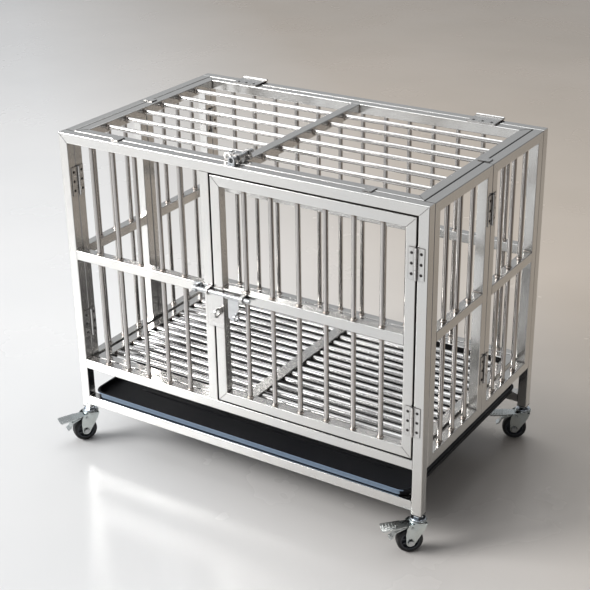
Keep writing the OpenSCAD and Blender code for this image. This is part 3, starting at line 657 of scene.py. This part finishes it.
def caster_parts():
    for key, (x, y, a) in CASTERS.items():
        c, s = math.cos(math.radians(a)), math.sin(math.radians(a))
        d, n = Vector((c, s, 0)), Vector((-s, c, 0))
        C = P(x + TRAIL * c, y + TRAIL * s, -53)
        half = [(18.5, 9.3), (19.1, 9.7), (19.9, 9.9), (20.3, 9.55), (20.8, 9.55), (21.1, 9.95), (21.9, 9.95), (22.8, 9.65), (23.6, 9.0), (24.25, 8.0),
                (24.68, 6.6), (24.85, 5.0), (24.9, 3.0), (24.9, 0.5), (24.98, 0.15)]
        prof = [(r / 1000, h / 1000) for r, h in half] + [(r / 1000, -h / 1000) for r, h in reversed(half)]
        t = Build()
        t.lathe(prof, C, n, 112)
        ob = t.make("tyre_round_" + key, M["tyre"], "wheel_" + key, "tyre_rubber")
        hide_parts("tyre_" + key)
        # hub spokes, both sides
        h = Build()
        for side in (1, -1):
            for i in range(8):
                u = math.pi * 2 * (i + 0.5) / 8
                rad = d * math.cos(u) + Vector((0, 0, 1)) * math.sin(u)
                tan = rad.cross(n)
                vs = []
                for r0, lift in ((6.2, 9.4), (16.6, 7.6)):
                    for ts in (-0.65, 0.65):
                        for hh in (3.2, lift):
                            vs.append(C + (rad * r0 + tan * ts + n * side * hh) / 1000)
                h.add(vs, [(0, 1, 3, 2), (4, 6, 7, 5), (0, 4, 5, 1), (2, 3, 7, 6), (0, 2, 6, 4), (1, 5, 7, 3)])
        h.make("hub_spokes_" + key, M["hub"], "wheel_" + key, "hub_plastic", smooth=False)
        # dust ring over the ball race
        q = Build()
        ring = [(12.45, -8.0), (13.5, -8.15), (14.4, -8.8), (14.85, -9.6), (14.5, -10.05), (13.6, -10.15), (12.45, -10.15)]
        q.lathe([(r / 1000, z / 1000) for r, z in ring], P(x, y, 0), (0, 0, 1), 56)
        q.make("race_ring_" + key, M["race"], "cage", "caster_zinc")
        # pressed ribs on the tread plate of the pedal
        g = Build()
        piv = P(x + 13 * c, y + 13 * s, -22.5)
        ca, sa = math.cos(math.radians(4)), math.sin(math.radians(4))
        for k in range(5):
            lx = 30 + k * 5.4
            pts = []
            for w in range(-8, 9):
                lz = 3.6
                pts.append(piv + (d * (lx * ca + lz * sa) + Vector((0, 0, 1)) * (-lx * sa + lz * ca) + n * w * 1.15) / 1000)
            g.tube(pts, [0.0009 * (0.5 if i in (0, 16) else 1) for i in range(17)], 8)
        g.make("pedal_ribs_" + key, M["pedal"], "brake_" + key, "pedal_steel")


caster_parts()

# ---------------------------------------------------------------- soft edges on the pressed parts

for name, ob in N.items():
    look = look_of(name)
    width = {"plate": 0.0004, "bolt": 0.0004, "pedal": 0.0004, "zinc": 0.0003, "axle": 0.0003, "hub": 0.0003}.get(look)
    if not width:
        continue
    m = ob.modifiers.new("edge", "BEVEL")
    m.width, m.segments, m.limit_method, m.angle_limit = width, 2, "ANGLE", math.radians(38)
    m.harden_normals = False

# ---------------------------------------------------------------- stage and light

def make_stage():
    nt = NT("floor_tile")
    n = nt.noise(1.3, 3.0, 0.5)
    x, y, z = nt.xyz()
    # Floor colour grades from pale at the front left to darker and warmer at the right rear: a painted light pool and
    # painted shade across the floor.
    side = nt.ramp(nt.math("ADD", nt.math("MULTIPLY", x, 0.75), nt.math("MULTIPLY", y, 0.8)), -0.35, 0.95)
    pale = nt.mix(nt.ramp(n, 0.35, 0.65), (0.76, 0.765, 0.77), (0.80, 0.80, 0.80))
    warm = nt.mix(nt.ramp(n, 0.35, 0.65), (0.52, 0.455, 0.385), (0.57, 0.50, 0.43))
    nt.link(nt.mix(side, pale, warm), nt.b.inputs["Base Color"])
    nt.link(nt.ramp(nt.noise(3.0, 4.0, 0.6), 0.3, 0.7, 0.20, 0.30), nt.b.inputs["Roughness"])
    nt.b.inputs["Specular IOR Level"].default_value = 0.4
    s = 14
    me = bpy.data.meshes.new("floor")
    me.from_pydata([(-s, -s, 0), (s, -s, 0), (s, s, 0), (-s, s, 0)], [], [(0, 1, 2, 3)])
    ob = bpy.data.objects.new("floor", me)
    scene.collection.objects.link(ob)
    me.materials.append(nt.m)

    # a dark flag beside the lens, for dark reflections in the tubes
    fm = bpy.data.materials.new("flag")
    fm.use_nodes = True
    fm.node_tree.nodes["Principled BSDF"].inputs["Base Color"].default_value = (0.05, 0.042, 0.04, 1)
    fm.node_tree.nodes["Principled BSDF"].inputs["Roughness"].default_value = 0.8
    me = bpy.data.meshes.new("flag")
    me.from_pydata([(1.16, -1.00, 0.0), (0.86, -0.14, 0.0), (0.86, -0.14, 1.15), (1.16, -1.00, 1.15)], [], [(0, 1, 2, 3)])
    flag = bpy.data.objects.new("flag", me)
    scene.collection.objects.link(flag)
    me.materials.append(fm)

    w = bpy.data.worlds.new("studio")
    scene.world = w
    w.use_nodes = True
    t = w.node_tree
    bg = t.nodes["Background"]
    tc = t.nodes.new("ShaderNodeTexCoord")
    sep = t.nodes.new("ShaderNodeSeparateXYZ")
    t.links.new(tc.outputs["Generated"], sep.inputs[0])
    # brighter to the left, darker and warmer to the right
    mr = t.nodes.new("ShaderNodeMapRange")
    mr.inputs["From Min"].default_value, mr.inputs["From Max"].default_value = -0.9, 0.95
    t.links.new(sep.outputs["X"], mr.inputs["Value"])
    mix = t.nodes.new("ShaderNodeMix")
    mix.data_type = "RGBA"
    mix.inputs[6].default_value = (0.93, 0.95, 0.97, 1)
    mix.inputs[7].default_value = (0.15, 0.14, 0.14, 1)
    t.links.new(mr.outputs[0], mix.inputs["Factor"])
    t.links.new(mix.outputs[2], bg.inputs["Color"])
    bg.inputs["Strength"].default_value = 0.6

    def area(name, loc, aim, sx, sy, power, colour=(1, 1, 1)):
        d = bpy.data.lights.new(name, "AREA")
        d.shape, d.size, d.size_y, d.energy, d.color = "RECTANGLE", sx, sy, power, colour
        ob = bpy.data.objects.new(name, d)
        scene.collection.objects.link(ob)
        ob.location = loc
        ob.rotation_mode = "QUATERNION"
        ob.rotation_quaternion = (Vector(aim) - Vector(loc)).to_track_quat("-Z", "Y")
        return ob

    area("key_window", (-5.8, -4.6, 4.5), (0.0, -0.5, 0.0), 4.2, 3.0, 700, (1.0, 0.99, 0.98))
    area("top_soft", (-0.6, 0.6, 3.0), (0, 0, 0.3), 3.0, 2.4, 40, (0.97, 0.99, 1.0))
    scene.view_settings.view_transform = "Standard"
    scene.view_settings.exposure = 0.0


make_stage()
